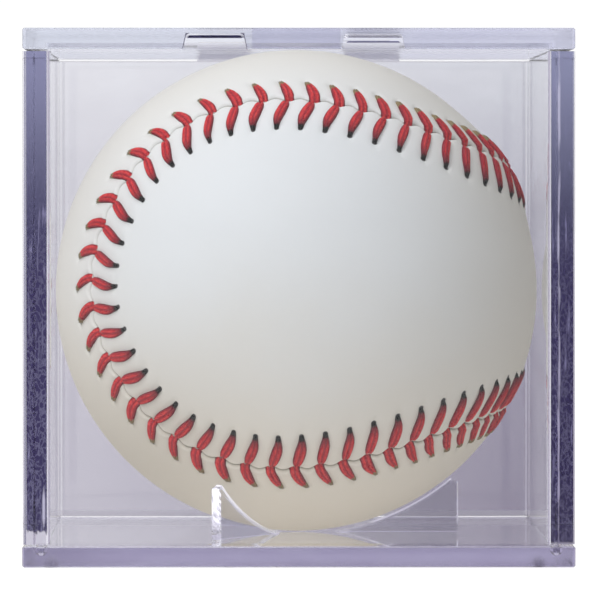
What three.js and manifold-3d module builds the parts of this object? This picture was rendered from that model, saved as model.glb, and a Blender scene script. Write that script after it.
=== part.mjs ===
// A clear display cube for a baseball, with its ball: a base with a three-fin cradle, a four-wall
// sleeve, a lift-off lid, and a stitched leather ball. Millimetres, +Z up, front towards -Y, and the
// origin in the middle of the underside.

import * as THREE from "three";
import { mergeVertices } from "three/addons/utils/BufferGeometryUtils.js";
import Module from "manifold-3d";

const wasm = await Module();
wasm.setup();

// The ball
const ballRadius = 37.4;
const leatherThickness = 1.3;
const coreGap = 0.4;
const neckHalfAngle = THREE.MathUtils.degToRad(25.4); // from a cover's waist line to its seam
const swayAngle = THREE.MathUtils.degToRad(21.5); // how far the seam swings out round each cover's end
const ballTurn = new THREE.Euler(
  THREE.MathUtils.degToRad(-92.8),
  THREE.MathUtils.degToRad(80.4),
  THREE.MathUtils.degToRad(-90.6),
);

// The seam and its stitches
const stitchPairs = 108;
const seamHalfGap = 0.55; // from the seam line to each cover's edge
const seamDip = 0.5; // how far the thread pulls the leather in
const seamDipWidth = 6.2;
const threadLift = 0.07; // clear space under a stitch
const threadThickness = 0.5;
const stitchWidth = 1.6;
const stitchRootLength = 1.25; // along the seam, where a stitch leaves the running thread
const stitchReach = 5.3; // from the seam line out to the hole
const stitchLean = 1.7; // how far along the seam the hole lies from the root
const stitchMiddleShare = 0.45; // where along its length a stitch is widest
const stitchEndWidth = 0.55;
const stitchEndThickness = 0.3;
const laceHalfWidth = 0.32; // the running thread that lies in the seam
const laceCrown = 0.4; // its top above the pulled-in leather
const laceKeel = 0.3; // its underside below the pulled-in leather

// The case
const wallThickness = 3.4;
const wallClearance = 0.45; // between the ball and each wall
const baseThickness = 3.15;
const baseOverhang = 0.1; // the base stands this far proud of the walls
const floorGap = 0.15; // between the ball and the floor
const lidGap = 0.25; // between the ball and the lid
const lidPanelThickness = 2.25;
const lidRecess = 0.95; // hollow under the lid that the top of the ball stands in
const jointGap = 0.3; // fine line left between two mouldings
const outerCornerRadius = 0.5;
const innerCornerRadius = 0.8;
const edgeBevel = 0.25;

// The cradle: three radial fins moulded on the base
const finCount = 3;
const finThickness = 1.6;
const finEdgeRadius = 0.5;
const finInnerRadius = 6.2;
const finOuterRadius = 25.2;
const shoulderWidth = 1.2; // flat top outside the saddle
const shoulderDrop = 0.25; // from the saddle's tip down to that flat top
const shoulderCornerRadius = 0.6;
const saddleGap = 0.45; // between the leather and each fin

// The latch tongues on the sleeve's top edge, and the notches in the lid that take them
const tongueRootWidth = 9.2;
const tongueTipWidth = 8.2;
const tongueTipRadius = 0.5;
const tongueThickness = 1.6;
const tongueClearance = 0.25;
const longTongueHeight = 2.35;
const shortTongueHeight = 1.5;
const longTongueX = -12.55;
const shortTongueX = 11.1;

// The corner pegs under the sleeve, and their sockets in the base
const pegRadius = 0.75;
const pegLength = 1.5;
const pegInset = 2.7; // from the sleeve's outer face to the peg's axis
const socketClearance = 0.3;

// The bare panel let into the front edge of the lid
const badgeWidth = 13.2;
const badgeHeight = 2.4;
const badgeDepth = 0.3;
const badgeX = -0.4;
const badgeCornerRadius = 0.4;

// Sizes that follow
const sleeveInside = 2 * (ballRadius + wallClearance);
const sleeveOutside = sleeveInside + 2 * wallThickness;
const baseWidth = sleeveOutside + 2 * baseOverhang;
const lidHeight = lidPanelThickness + lidRecess;
const ballCentreZ = baseThickness + floorGap + ballRadius;
const caseHeight = ballCentreZ + ballRadius + lidGap + lidPanelThickness;
const sleeveBottomZ = baseThickness + jointGap;
const lidBottomZ = caseHeight - lidHeight;
const sleeveTopZ = lidBottomZ - jointGap;
const frontY = -sleeveOutside / 2;

// How finely round shapes are cut
const cornerSteps = 4;
const arcSteps = 8;
const pegSides = 12;
const coverRows = 58; // along a cover, from one round end to the other
const coverColumns = 8; // across a cover
const coreDetail = 5;
const seamSamples = 1080;
const weldShare = 1e-4; // corners closer than this share of the ball's radius are one corner
const overrun = 1; // how far a cut or a joined root runs past the face it starts from

// One closed mesh: equal corners are shared, and faces that have shrunk to a line are dropped.
function welded(geometry) {
  const bare = geometry.clone();
  bare.deleteAttribute("normal");
  bare.deleteAttribute("uv");
  const merged = mergeVertices(bare, weldShare * ballRadius);
  const kept = [];
  for (let i = 0; i < merged.index.count; i += 3) {
    const [a, b, c] = [0, 1, 2].map((k) => merged.index.getX(i + k));
    if (a !== b && b !== c && c !== a) kept.push(a, b, c);
  }
  merged.setIndex(kept);
  return merged;
}

function solidOf(geometry) {
  const merged = welded(geometry);
  const mesh = new wasm.Mesh({
    numProp: 3,
    vertProperties: new Float32Array(merged.attributes.position.array),
    triVerts: new Uint32Array(merged.index.array),
  });
  return new wasm.Manifold(mesh);
}

function geometryOf(solid) {
  const mesh = solid.getMesh();
  const geometry = new THREE.BufferGeometry();
  geometry.setAttribute("position", new THREE.BufferAttribute(mesh.vertProperties, 3));
  geometry.setIndex(new THREE.BufferAttribute(mesh.triVerts, 1));
  geometry.computeVertexNormals();
  return geometry;
}

function join(geometries) {
  return geometries.map(solidOf).reduce((whole, solid) => whole.add(solid));
}

function cut(solid, geometries) {
  return geometries.map(solidOf).reduce((whole, tool) => whole.subtract(tool), solid);
}

function roundedRectangle(width, depth, radius) {
  const [x, y] = [width / 2 - radius, depth / 2 - radius];
  const outline = new THREE.Shape();
  outline.absarc(x, y, radius, 0, Math.PI / 2);
  outline.absarc(-x, y, radius, Math.PI / 2, Math.PI);
  outline.absarc(-x, -y, radius, Math.PI, 1.5 * Math.PI);
  outline.absarc(x, -y, radius, 1.5 * Math.PI, 2 * Math.PI);
  return outline;
}

// A flat plate from height bottom to height top, with an optional small bevel round both faces.
function plate(outline, bottom, top, bevel = 0) {
  const geometry = new THREE.ExtrudeGeometry(outline, {
    depth: top - bottom - 2 * bevel,
    curveSegments: cornerSteps,
    bevelEnabled: bevel > 0,
    bevelThickness: bevel,
    bevelSize: bevel,
    bevelOffset: -bevel,
    bevelSegments: 1,
  });
  return geometry.translate(0, 0, bottom + bevel);
}

// A shape drawn in the XZ plane, standing upright, from the face at y towards +Y.
function uprightPlate(outline, y, depth) {
  const geometry = new THREE.ExtrudeGeometry(outline, {
    depth,
    curveSegments: cornerSteps,
    bevelEnabled: false,
  });
  return geometry.rotateX(Math.PI / 2).translate(0, y + depth, 0);
}

// A pin or a hole with a domed lower end: its axis stands at (x, y), its tip at z = tip.
function domedPin(radius, x, y, tip, top) {
  const profile = new THREE.Path();
  profile.moveTo(0, tip);
  profile.absarc(0, tip + radius, radius, -Math.PI / 2, 0);
  profile.lineTo(radius, top);
  profile.lineTo(0, top);
  const points = profile.getPoints(cornerSteps);
  return new THREE.LatheGeometry(points, pegSides).rotateX(Math.PI / 2).translate(x, y, 0);
}

function cornerPlaces() {
  const reach = sleeveOutside / 2 - pegInset;
  return [
    [reach, reach],
    [-reach, reach],
    [-reach, -reach],
    [reach, -reach],
  ];
}

// The base

// The fin's side outline, r across and height above the floor up. Its foot runs down into the base.
function finOutline() {
  const saddleRadius = ballRadius + saddleGap;
  const centreHeight = ballCentreZ - baseThickness;
  const tipRadius = finOuterRadius - shoulderWidth;
  const angleAt = (r) => -Math.acos(r / saddleRadius);
  const tipHeight = centreHeight - Math.sqrt(saddleRadius ** 2 - tipRadius ** 2);
  const shoulder = tipHeight - shoulderDrop;
  const outline = new THREE.Shape();
  outline.moveTo(finInnerRadius, -overrun);
  outline.lineTo(finInnerRadius, 0);
  outline.absarc(0, centreHeight, saddleRadius, angleAt(finInnerRadius), angleAt(tipRadius));
  outline.lineTo(tipRadius + shoulderDrop, shoulder);
  outline.lineTo(finOuterRadius - shoulderCornerRadius, shoulder);
  outline.absarc(
    finOuterRadius - shoulderCornerRadius,
    shoulder - shoulderCornerRadius,
    shoulderCornerRadius,
    Math.PI / 2,
    0,
    true,
  );
  outline.lineTo(finOuterRadius, -overrun);
  return outline;
}

function fin(turn) {
  const geometry = new THREE.ExtrudeGeometry(finOutline(), {
    depth: finThickness - 2 * finEdgeRadius,
    curveSegments: arcSteps,
    bevelEnabled: true,
    bevelThickness: finEdgeRadius,
    bevelSize: finEdgeRadius,
    bevelOffset: -finEdgeRadius,
    bevelSegments: 2,
  });
  geometry.translate(0, 0, finEdgeRadius - finThickness / 2);
  return geometry.rotateX(Math.PI / 2).rotateZ(turn).translate(0, 0, baseThickness);
}

function caseBase() {
  const outline = roundedRectangle(baseWidth, baseWidth, outerCornerRadius);
  const parts = [plate(outline, 0, baseThickness, edgeBevel)];
  for (let i = 0; i < finCount; i += 1) parts.push(fin((2 * Math.PI * i) / finCount));
  const socketTip = sleeveBottomZ - pegLength - socketClearance;
  const sockets = cornerPlaces().map(([x, y]) =>
    domedPin(pegRadius + socketClearance, x, y, socketTip, baseThickness + overrun),
  );
  return geometryOf(cut(join(parts), sockets));
}

// The sleeve and the lid

// A tongue's front outline, drawn up from z = root, narrower and rounded at its tip.
function tongueOutline(x, root, seat, tip, spread) {
  const [halfRoot, halfTip] = [tongueRootWidth / 2 + spread, tongueTipWidth / 2 + spread];
  const outline = new THREE.Shape();
  outline.moveTo(x - halfRoot, root);
  outline.lineTo(x + halfRoot, root);
  outline.lineTo(x + halfRoot, seat);
  outline.lineTo(x + halfTip, tip - tongueTipRadius);
  outline.absarc(x + halfTip - tongueTipRadius, tip - tongueTipRadius, tongueTipRadius, 0, Math.PI / 2);
  outline.absarc(
    x - halfTip + tongueTipRadius,
    tip - tongueTipRadius,
    tongueTipRadius,
    Math.PI / 2,
    Math.PI,
  );
  outline.lineTo(x - halfRoot, seat);
  return outline;
}

const tongues = [
  { x: longTongueX, height: longTongueHeight },
  { x: shortTongueX, height: shortTongueHeight },
];

// Makes one piece for each tongue on the front, and its copy turned half round for the back.
function frontAndBack(makePiece) {
  const front = tongues.map(makePiece);
  const back = tongues.map(makePiece).map((piece) => piece.rotateZ(Math.PI));
  return [...front, ...back];
}

function caseSleeve() {
  const outline = roundedRectangle(sleeveOutside, sleeveOutside, outerCornerRadius);
  outline.holes.push(roundedRectangle(sleeveInside, sleeveInside, innerCornerRadius));
  const walls = plate(outline, sleeveBottomZ, sleeveTopZ);
  const raised = frontAndBack(({ x, height }) => {
    const tip = sleeveTopZ + height;
    return uprightPlate(
      tongueOutline(x, sleeveTopZ - overrun, sleeveTopZ, tip, 0),
      frontY,
      tongueThickness,
    );
  });
  const pegs = cornerPlaces().map(([x, y]) =>
    domedPin(pegRadius, x, y, sleeveBottomZ - pegLength, sleeveBottomZ + overrun),
  );
  return geometryOf(join([walls, ...raised, ...pegs]));
}

function caseLid() {
  const outline = roundedRectangle(sleeveOutside, sleeveOutside, outerCornerRadius);
  const recess = roundedRectangle(sleeveInside, sleeveInside, innerCornerRadius);
  const notchTip = sleeveTopZ + longTongueHeight + tongueClearance;
  const notches = frontAndBack(({ x }) =>
    uprightPlate(
      tongueOutline(x, lidBottomZ - overrun, sleeveTopZ, notchTip, tongueClearance),
      frontY - overrun,
      overrun + tongueThickness + tongueClearance,
    ),
  );
  const badge = roundedRectangle(badgeWidth, badgeHeight, badgeCornerRadius);
  const badgeZ = (lidBottomZ + caseHeight) / 2;
  const badgeCut = uprightPlate(badge, frontY - overrun, overrun + badgeDepth);
  return geometryOf(
    cut(solidOf(plate(outline, lidBottomZ, caseHeight, edgeBevel)), [
      plate(recess, lidBottomZ - overrun, lidBottomZ + lidRecess),
      ...notches,
      badgeCut.translate(badgeX, 0, badgeZ),
    ]),
  );
}

// The ball

// The seam of a baseball on a unit sphere, for t from 0 to 4 pi. It swings from pole to pole twice
// while it goes once round, and sways to and fro on its way.
function seamPoint(t) {
  const polar = Math.PI / 2 - (Math.PI / 2 - neckHalfAngle) * Math.cos(t);
  const around = t / 2 + swayAngle * Math.sin(2 * t);
  return new THREE.Vector3(
    Math.sin(polar) * Math.cos(around),
    Math.sin(polar) * Math.sin(around),
    Math.cos(polar),
  );
}

// The seam's point at t, the way it runs there, and the way across it to the first cover.
function seamFrame(t) {
  const step = (2 * Math.PI) / seamSamples;
  const out = seamPoint(t);
  const along = seamPoint(t + step).sub(seamPoint(t - step));
  along.addScaledVector(out, -along.dot(out)).normalize();
  return { out, along, across: new THREE.Vector3().crossVectors(out, along) };
}

// A direction a little way along and across the seam from a frame, in millimetres on the leather.
function besideSeam({ out, along, across }, lengthwise, sideways) {
  return out
    .clone()
    .addScaledVector(along, lengthwise / ballRadius)
    .addScaledVector(across, sideways / ballRadius)
    .normalize();
}

const seamLine = Array.from({ length: seamSamples }, (_, i) =>
  seamPoint((4 * Math.PI * i) / seamSamples),
);

// Values of t at equal lengths along the seam.
function evenPlaces(count) {
  const lengths = [0];
  for (let i = 1; i <= seamSamples; i += 1) {
    const step = seamLine[i % seamSamples].distanceTo(seamLine[i - 1]);
    lengths.push(lengths[i - 1] + step);
  }
  const places = [];
  for (let i = 0, k = 0; i < count; i += 1) {
    const wanted = (lengths[seamSamples] * i) / count;
    while (lengths[k + 1] < wanted) k += 1;
    const share = (wanted - lengths[k]) / (lengths[k + 1] - lengths[k]);
    places.push((4 * Math.PI * (k + share)) / seamSamples);
  }
  return places;
}

function leatherHeight(seamDistance) {
  return ballRadius - seamDip * Math.max(0, 1 - seamDistance / seamDipWidth);
}

function distanceToSeam(direction) {
  const nearest = Math.max(...seamLine.map((point) => point.dot(direction)));
  return ballRadius * Math.acos(Math.min(1, nearest));
}

// The way from a to b along their great circle, share of the way there.
function between(a, b, share) {
  const angle = a.angleTo(b);
  if (angle === 0) return a.clone();
  return a
    .clone()
    .multiplyScalar(Math.sin((1 - share) * angle))
    .addScaledVector(b, Math.sin(share * angle))
    .divideScalar(Math.sin(angle));
}

function rowShares(rowAngle) {
  const dipShare = Math.min(seamDipWidth / (ballRadius * rowAngle), 1 / coverColumns);
  const shares = [0];
  for (let k = 0; k <= coverColumns - 2; k += 1) {
    shares.push(dipShare + ((1 - 2 * dipShare) * k) / (coverColumns - 2));
  }
  return [...shares, 1];
}

// One figure-eight cover. Its rows run from the seam on one side to the same place mirrored in X on
// the other, and shrink to a point at each round end.
function coverGeometry() {
  const [outer, inner] = [[], []];
  for (let i = 0; i <= coverRows; i += 1) {
    const frame = seamFrame(-Math.PI + (2 * Math.PI * i) / coverRows);
    const start = besideSeam(frame, 0, seamHalfGap);
    if (i === 0 || i === coverRows) start.setX(0).normalize();
    const end = start.clone().setX(-start.x);
    const shares = rowShares(Math.max(start.angleTo(end), seamHalfGap / ballRadius));
    const row = shares.map((share) => between(start, end, share));
    outer.push(row.map((d) => d.clone().multiplyScalar(leatherHeight(distanceToSeam(d)))));
    inner.push(row.map((d) => d.clone().multiplyScalar(ballRadius - leatherThickness)));
  }
  const corners = [];
  const quad = (a, b, c, d) => corners.push(a, b, c, a, c, d);
  for (let i = 0; i < coverRows; i += 1) {
    for (let k = 0; k < coverColumns; k += 1) {
      quad(outer[i][k], outer[i + 1][k], outer[i + 1][k + 1], outer[i][k + 1]);
      quad(inner[i][k], inner[i][k + 1], inner[i + 1][k + 1], inner[i + 1][k]);
    }
    const last = coverColumns;
    quad(inner[i][0], inner[i + 1][0], outer[i + 1][0], outer[i][0]);
    quad(outer[i][last], outer[i + 1][last], inner[i + 1][last], inner[i][last]);
  }
  return closedGeometry(corners);
}

function closedGeometry(corners) {
  const geometry = welded(new THREE.BufferGeometry().setFromPoints(corners));
  geometry.computeVertexNormals();
  return geometry;
}

// The thread is one piece: a lace of diamond section that lies in the seam all the way round, and a
// V of two stitches drawn out of its flanks at each pair of holes.
function stitchingGeometry() {
  const seat = ballRadius - seamDip;
  const places = evenPlaces(stitchPairs);
  const corners = [];
  const quad = (a, b, c, d) => corners.push(a, b, c, a, c, d);
  const at = (frame, lengthwise, sideways, height) =>
    besideSeam(frame, lengthwise, sideways).multiplyScalar(height);
  // The section's corners: crown, first flank, keel, second flank.
  const section = (frame, lengthwise) => [
    at(frame, lengthwise, 0, seat + laceCrown),
    at(frame, lengthwise, laceHalfWidth, seat + threadLift),
    at(frame, lengthwise, 0, seat - laceKeel),
    at(frame, lengthwise, -laceHalfWidth, seat + threadLift),
  ];
  const skin = (from, to, sides) => {
    for (const k of sides) quad(from[k], to[k], to[(k + 1) % 4], from[(k + 1) % 4]);
  };
  // One ring of a stitch: under its middle, the leading edge, over its middle, the trailing edge.
  const ring = (frame, share, side, width, thickness) => {
    const lengthwise = stitchLean * share;
    const sideways = side * stitchReach * share;
    const bottom = leatherHeight(Math.abs(sideways)) + threadLift;
    const slant = new THREE.Vector2(stitchReach, -stitchLean * side).normalize();
    const [dl, ds] = [(slant.x * width) / 2, (slant.y * width) / 2];
    const middle = bottom + thickness / 2;
    return [
      at(frame, lengthwise - dl, sideways - ds, middle),
      at(frame, lengthwise, sideways, bottom),
      at(frame, lengthwise + dl, sideways + ds, middle),
      at(frame, lengthwise, sideways, bottom + thickness),
    ];
  };
  const stitch = (frame, root, side) => {
    const middle = ring(frame, stitchMiddleShare, side, stitchWidth, threadThickness);
    const end = ring(frame, 1, side, stitchEndWidth, stitchEndThickness);
    const rings = side > 0 ? [root, middle, end] : [root, middle, end].map((r) => [...r].reverse());
    for (let i = 0; i < 2; i += 1) skin(rings[i], rings[i + 1], [0, 1, 2, 3]);
    quad(rings[2][3], rings[2][2], rings[2][1], rings[2][0]);
  };
  const starts = places.map((t) => section(seamFrame(t), -stitchRootLength / 2));
  const ends = places.map((t) => section(seamFrame(t), stitchRootLength / 2));
  for (let i = 0; i < stitchPairs; i += 1) {
    const [start, end] = [starts[i], ends[i]];
    const frame = seamFrame(places[i]);
    skin(start, end, [1, 2]);
    skin(end, starts[(i + 1) % stitchPairs], [0, 1, 2, 3]);
    stitch(frame, [start[0], start[1], end[1], end[0]], 1);
    stitch(frame, [start[0], start[3], end[3], end[0]], -1);
  }
  return closedGeometry(corners);
}

function coreGeometry() {
  return new THREE.IcosahedronGeometry(ballRadius - leatherThickness - coreGap, coreDetail);
}

// Materials
const clearPlastic = new THREE.MeshStandardMaterial({
  color: 0xd9d8ea,
  roughness: 0.05,
  metalness: 0,
  transparent: true,
  opacity: 0.3,
});
const leather = new THREE.MeshStandardMaterial({ color: 0xe4e6e2, roughness: 0.55, metalness: 0 });
const redThread = new THREE.MeshStandardMaterial({ color: 0xb02a33, roughness: 0.7, metalness: 0 });
const woundYarn = new THREE.MeshStandardMaterial({ color: 0xcfc8b6, roughness: 0.95, metalness: 0 });

function named(name, geometry, material) {
  const mesh = new THREE.Mesh(geometry, material);
  mesh.name = name;
  return mesh;
}

const ball = new THREE.Group();
ball.position.set(0, 0, ballCentreZ);
ball.setRotationFromEuler(ballTurn);
const cover = coverGeometry();
const secondCover = named("ball_cover_b", cover, leather);
// Half a turn about a line through two crossings of the seam swaps the covers.
secondCover.setRotationFromAxisAngle(new THREE.Vector3(1, -1, 0).normalize(), Math.PI);
ball.add(
  named("ball_core", coreGeometry(), woundYarn),
  named("ball_cover_a", cover, leather),
  secondCover,
  named("ball_stitching", stitchingGeometry(), redThread),
);

const displayCube = new THREE.Group();
displayCube.add(
  named("case_base", caseBase(), clearPlastic),
  named("case_sleeve", caseSleeve(), clearPlastic),
  named("case_lid", caseLid(), clearPlastic),
  ball,
);

export default displayCube;
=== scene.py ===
# %% [markdown]
# # A baseball in its clear display cube
# The cube is three clear plastic mouldings: a base with a three-fin cradle, a sleeve of four walls
# and a lift-off lid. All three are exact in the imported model, so they stay and only get their
# finish here. The ball is different. Its look is in soft leather that is pulled in by thread, so its
# covers and stitches are made again as fine surfaces from the same seam formula.
#
# We start by loading the model. Its nodes arrive in metres, at the origin, with +Z up.

import bmesh
import bpy
import numpy as np
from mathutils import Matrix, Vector


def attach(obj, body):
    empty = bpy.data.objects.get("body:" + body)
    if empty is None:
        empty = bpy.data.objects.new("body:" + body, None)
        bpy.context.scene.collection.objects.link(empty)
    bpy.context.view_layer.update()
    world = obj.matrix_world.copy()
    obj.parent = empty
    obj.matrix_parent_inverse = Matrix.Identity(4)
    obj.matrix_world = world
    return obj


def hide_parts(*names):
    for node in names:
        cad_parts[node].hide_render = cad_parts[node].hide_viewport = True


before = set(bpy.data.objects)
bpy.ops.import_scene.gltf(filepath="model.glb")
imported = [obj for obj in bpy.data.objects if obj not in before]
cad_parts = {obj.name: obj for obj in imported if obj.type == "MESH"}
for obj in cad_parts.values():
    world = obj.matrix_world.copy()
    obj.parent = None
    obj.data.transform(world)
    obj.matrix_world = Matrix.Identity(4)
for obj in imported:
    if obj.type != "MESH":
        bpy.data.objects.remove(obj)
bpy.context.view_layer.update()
MM = 0.001
print("CAD nodes:", ", ".join(sorted(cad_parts)))

# %% [markdown]
# ## The camera
# The photograph is taken from almost a metre away, straight onto the front, a little left of the
# middle and somewhat above it. The front edges of the cube measure 6.703 pixels to the millimetre,
# and the inner edges shrink towards one point, which together give the place and the lens. We aim
# at the point of the front face that lies in the middle of the picture, so no shift is needed.
#
# A camera and a lamp are put up the same way, so one helper serves both.


# %% Place the camera
def put_up(name, data, place, aim):
    """A camera or a lamp at one place that looks at another."""
    thing = bpy.data.objects.new(name, data)
    thing.location = place
    thing.rotation_mode = "QUATERNION"
    thing.rotation_quaternion = (aim - place).to_track_quat("-Z", "Y")
    bpy.context.scene.collection.objects.link(thing)
    return thing


camera_place = Vector((-9.85, -963.25, 57.88)) * MM
camera_aim = Vector((0.15, -41.25, 39.98)) * MM
camera_lens_mm = 370.8

camera_data = bpy.data.cameras.new("photo_camera")
camera_data.lens = camera_lens_mm
camera_data.clip_start = 0.01
camera_data.clip_end = 50.0
bpy.context.scene.camera = put_up("photo_camera", camera_data, camera_place, camera_aim)
print("camera to front, mm:", round((camera_aim - camera_place).length / MM, 1))

# %% [markdown]
# ## Shader maths in Python
# A finish is a small program on values that change over the surface. Written as nodes it is hard to
# read, so one class wraps an output socket and gives it Python's operators. `1 - mask` works too,
# because the reflected forms are there.


# %% A socket that can be used in sums
class Signal:
    """A value at each point of a surface: an output socket with +, -, *, / and ** on it."""

    def __init__(self, finish, socket):
        self.finish = finish
        self.socket = socket

    def maths(self, operation, *operands):
        inputs = dict(enumerate(operands))
        return self.finish.node("ShaderNodeMath", {"operation": operation}, inputs)

    def __add__(self, other):
        return self.maths("ADD", self, other)

    def __sub__(self, other):
        return self.maths("SUBTRACT", self, other)

    def __rsub__(self, other):
        return self.maths("SUBTRACT", other, self)

    def __mul__(self, other):
        return self.maths("MULTIPLY", self, other)

    def __truediv__(self, other):
        return self.maths("DIVIDE", self, other)

    def __pow__(self, other):
        return self.maths("POWER", self, other)

    def __neg__(self):
        return self.maths("MULTIPLY", self, -1.0)

    __radd__ = __add__
    __rmul__ = __mul__

    def size(self):
        return self.maths("ABSOLUTE", self)

    def most(self, other):
        return self.maths("MAXIMUM", self, other)

    def least(self, other):
        return self.maths("MINIMUM", self, other)

    def sine(self):
        return self.maths("SINE", self)

    def fraction(self):
        return self.maths("FRACT", self)

    def step(self, low, high):
        """0 below low, 1 above high, and a smooth slope between them."""
        settings = {"interpolation_type": "SMOOTHSTEP"}
        inputs = {"Value": self, "From Min": low, "From Max": high}
        return self.finish.node("ShaderNodeMapRange", settings, inputs)

    def inside(self, low, high, soft):
        """1 between low and high, with soft edges."""
        return self.step(low - soft, low + soft) * (1 - self.step(high - soft, high + soft))

    def line(self, middle, core, rim):
        """1 closer to the middle than core, 0 farther away than rim: a soft line."""
        return 1 - (self - middle).size().step(core, rim)


# %% [markdown]
# Every other node comes from one method: its type, its settings, then numbers, colours or Signals
# on its sockets. Colours are blended by a Mix node, never by a Math node, which would turn them
# grey. Most finishes are built as paint is, a ground colour with coats over it, each with the mask
# of where it goes.


# %% A finish that is written as a program
class Finish:
    """The node tree of a material or of the world, under construction."""

    def __init__(self, owner):
        owner.use_nodes = True
        self.owner = owner
        self.tree = owner.node_tree
        self.tree.nodes.clear()

    def node(self, kind, settings=None, inputs=None, output=0):
        made = self.tree.nodes.new(kind)
        for key, value in (settings or {}).items():
            setattr(made, key, value)
        for key, value in (inputs or {}).items():
            socket = made.inputs[key]
            if isinstance(value, Signal):
                self.tree.links.new(value.socket, socket)
            elif socket.type == "RGBA":
                socket.default_value = (*value, 1.0)
            else:
                socket.default_value = value
        return Signal(self, made.outputs[output])

    def place(self):
        """Object coordinates in millimetres."""
        raw = self.node("ShaderNodeTexCoord", output="Object")
        return self.node("ShaderNodeVectorMath", {"operation": "SCALE"}, {0: raw, "Scale": 1 / MM})

    def axes(self, vector):
        return [self.node("ShaderNodeSeparateXYZ", None, {0: vector}, axis) for axis in "XYZ"]

    def noise(self, vector, scale, detail=2.0):
        """Cloudy noise with so many features to a millimetre, one number or one for each axis."""
        if isinstance(scale, tuple):
            inputs = {0: vector, 1: scale}
            vector = self.node("ShaderNodeVectorMath", {"operation": "MULTIPLY"}, inputs)
            scale = 1.0
        inputs = {"Vector": vector, "Scale": scale, "Detail": detail}
        return self.node("ShaderNodeTexNoise", None, inputs, "Fac")

    def attribute(self, name):
        return self.node("ShaderNodeAttribute", {"attribute_name": name}, None, "Fac")

    def ray(self, *kinds):
        """1 on light paths of one of two kinds, such as Camera and Transmission."""
        first, second = (self.node("ShaderNodeLightPath", output=f"Is {kind} Ray") for kind in kinds)
        return first.most(second)

    def blend(self, factor, low, high):
        """Colour low where factor is 0, colour high where it is 1."""
        return self.node("ShaderNodeMix", {"data_type": "RGBA"}, {0: factor, 6: low, 7: high}, 2)

    def coats(self, colour, *layers):
        """A ground colour with layers over it, each a mask and the colour that it brings."""
        for mask, layer in layers:
            colour = self.blend(mask, colour, layer)
        return colour

    def bump(self, height, distance, strength=1.0):
        inputs = {"Height": height, "Distance": distance, "Strength": strength}
        return self.node("ShaderNodeBump", None, inputs, "Normal")

    def surface(self, **inputs):
        """The Principled shader, with an underscore for each space in a socket's name."""
        named = {key.replace("_", " "): value for key, value in inputs.items()}
        return self.node("ShaderNodeBsdfPrincipled", None, named, "BSDF")

    def mix(self, factor, low, high):
        """Shader low where factor is 0, shader high where it is 1."""
        return self.node("ShaderNodeMixShader", None, {0: factor, 1: low, 2: high})

    def show(self, shader, kind="ShaderNodeOutputMaterial"):
        out = self.tree.nodes.new(kind)
        self.tree.links.new(shader.socket, out.inputs["Surface"])
        print(self.owner.name, "nodes:", len(self.tree.nodes))
        return self.owner


# %% [markdown]
# ## A white room
# The photograph is shot in a light tent: white all round, with no hard shadow. What the camera sees
# directly, or through the plastic, is plain white, and a little over it to make up for what each wall
# takes away. The light that falls on the ball comes from the same tent, which is brightest above, in
# front and to the left, as the soft shading on the leather shows. Right behind the camera the tent
# has its opening, which is dark, so the front wall reflects nothing. A picture of a real studio
# could light the scene as well, but one sum of three directions gives this soft light without any
# file.

# %% Put up the light tent
tent_white = 1.06
tent_dark = 0.05
opening_rim, opening_core = 0.965, 0.985  # cosines of the angle from the camera's direction

tent = Finish(bpy.data.worlds.new("light_tent"))
right, back, up = tent.axes(tent.node("ShaderNodeTexCoord", output="Generated"))
opening = (-back).step(opening_rim, opening_core)
glow = (0.17 - right * 0.47 - back * 0.70 + up * 0.84).most(tent_dark) * (1 - opening * 0.95)
seen = tent.ray("Camera", "Transmission")
tent_light = {"Color": (1.0, 1.0, 1.0), "Strength": glow * (1 - seen) + seen * tent_white}
bpy.context.scene.world = tent.show(
    tent.node("ShaderNodeBackground", None, tent_light), "ShaderNodeOutputWorld"
)
bpy.context.scene.view_settings.view_transform = "Standard"

# %% [markdown]
# The tent alone leaves thread and leather flat. One large lamp up on the left gives them their
# relief. It is a square of 70 cm, so its shadows stay soft.

# %% Hang the lamp
lamp_place = Vector((-0.75, -0.9, 1.1))
lamp_aim = Vector((0, 0, 0.04))

lamp_data = bpy.data.lights.new("lamp_upper_left", "AREA")
lamp_data.shape = "SQUARE"
lamp_data.size = 0.7
lamp_data.energy = 6.0
lamp_data.color = (0.97, 0.99, 1.0)
put_up("lamp_upper_left", lamp_data, lamp_place, lamp_aim)
print("lamp to ball, m:", round((lamp_aim - lamp_place).length, 2))

# %% [markdown]
# Light runs a long way inside clear plastic: it bounces from face to face until it finds an edge.
# Each bounce that the renderer gives up on becomes a black line, so we allow many.

# %% Let light run through the plastic
cycles = bpy.context.scene.cycles
cycles.max_bounces = 40
cycles.glossy_bounces = 32
cycles.transmission_bounces = 40
cycles.transparent_max_bounces = 40
cycles.diffuse_bounces = 3
print("bounces allowed:", cycles.max_bounces)

# %% [markdown]
# ## Surfaces from arrays
# All new pieces are grids of points worked out with numpy. The two helpers below turn a grid into
# faces and a mesh, and leave the object at the origin, with its place in its points.


# %% A mesh from a grid
def mesh_piece(name, points, faces):
    """A mesh object at the origin from points in metres and faces as rows of point numbers."""
    mesh = bpy.data.meshes.new(name)
    mesh.from_pydata(points.reshape(-1, 3).tolist(), [], faces)
    mesh.polygons.foreach_set("use_smooth", np.full(len(mesh.polygons), True))
    mesh.update()
    piece = bpy.data.objects.new(name, mesh)
    bpy.context.scene.collection.objects.link(piece)
    print(name, "points:", len(mesh.vertices), " faces:", len(mesh.polygons))
    return piece


def grid_faces(rows, columns, close_columns=False):
    """The four corners of every cell of a grid of points numbered row by row."""
    row, column = np.arange(rows - 1), np.arange(columns if close_columns else columns - 1)
    row, column = (side.ravel() for side in np.meshgrid(row, column, indexing="ij"))
    after = (column + 1) % columns
    here, below = row * columns, (row + 1) * columns
    return np.stack([here + column, below + column, below + after, here + after], axis=1)


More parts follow.
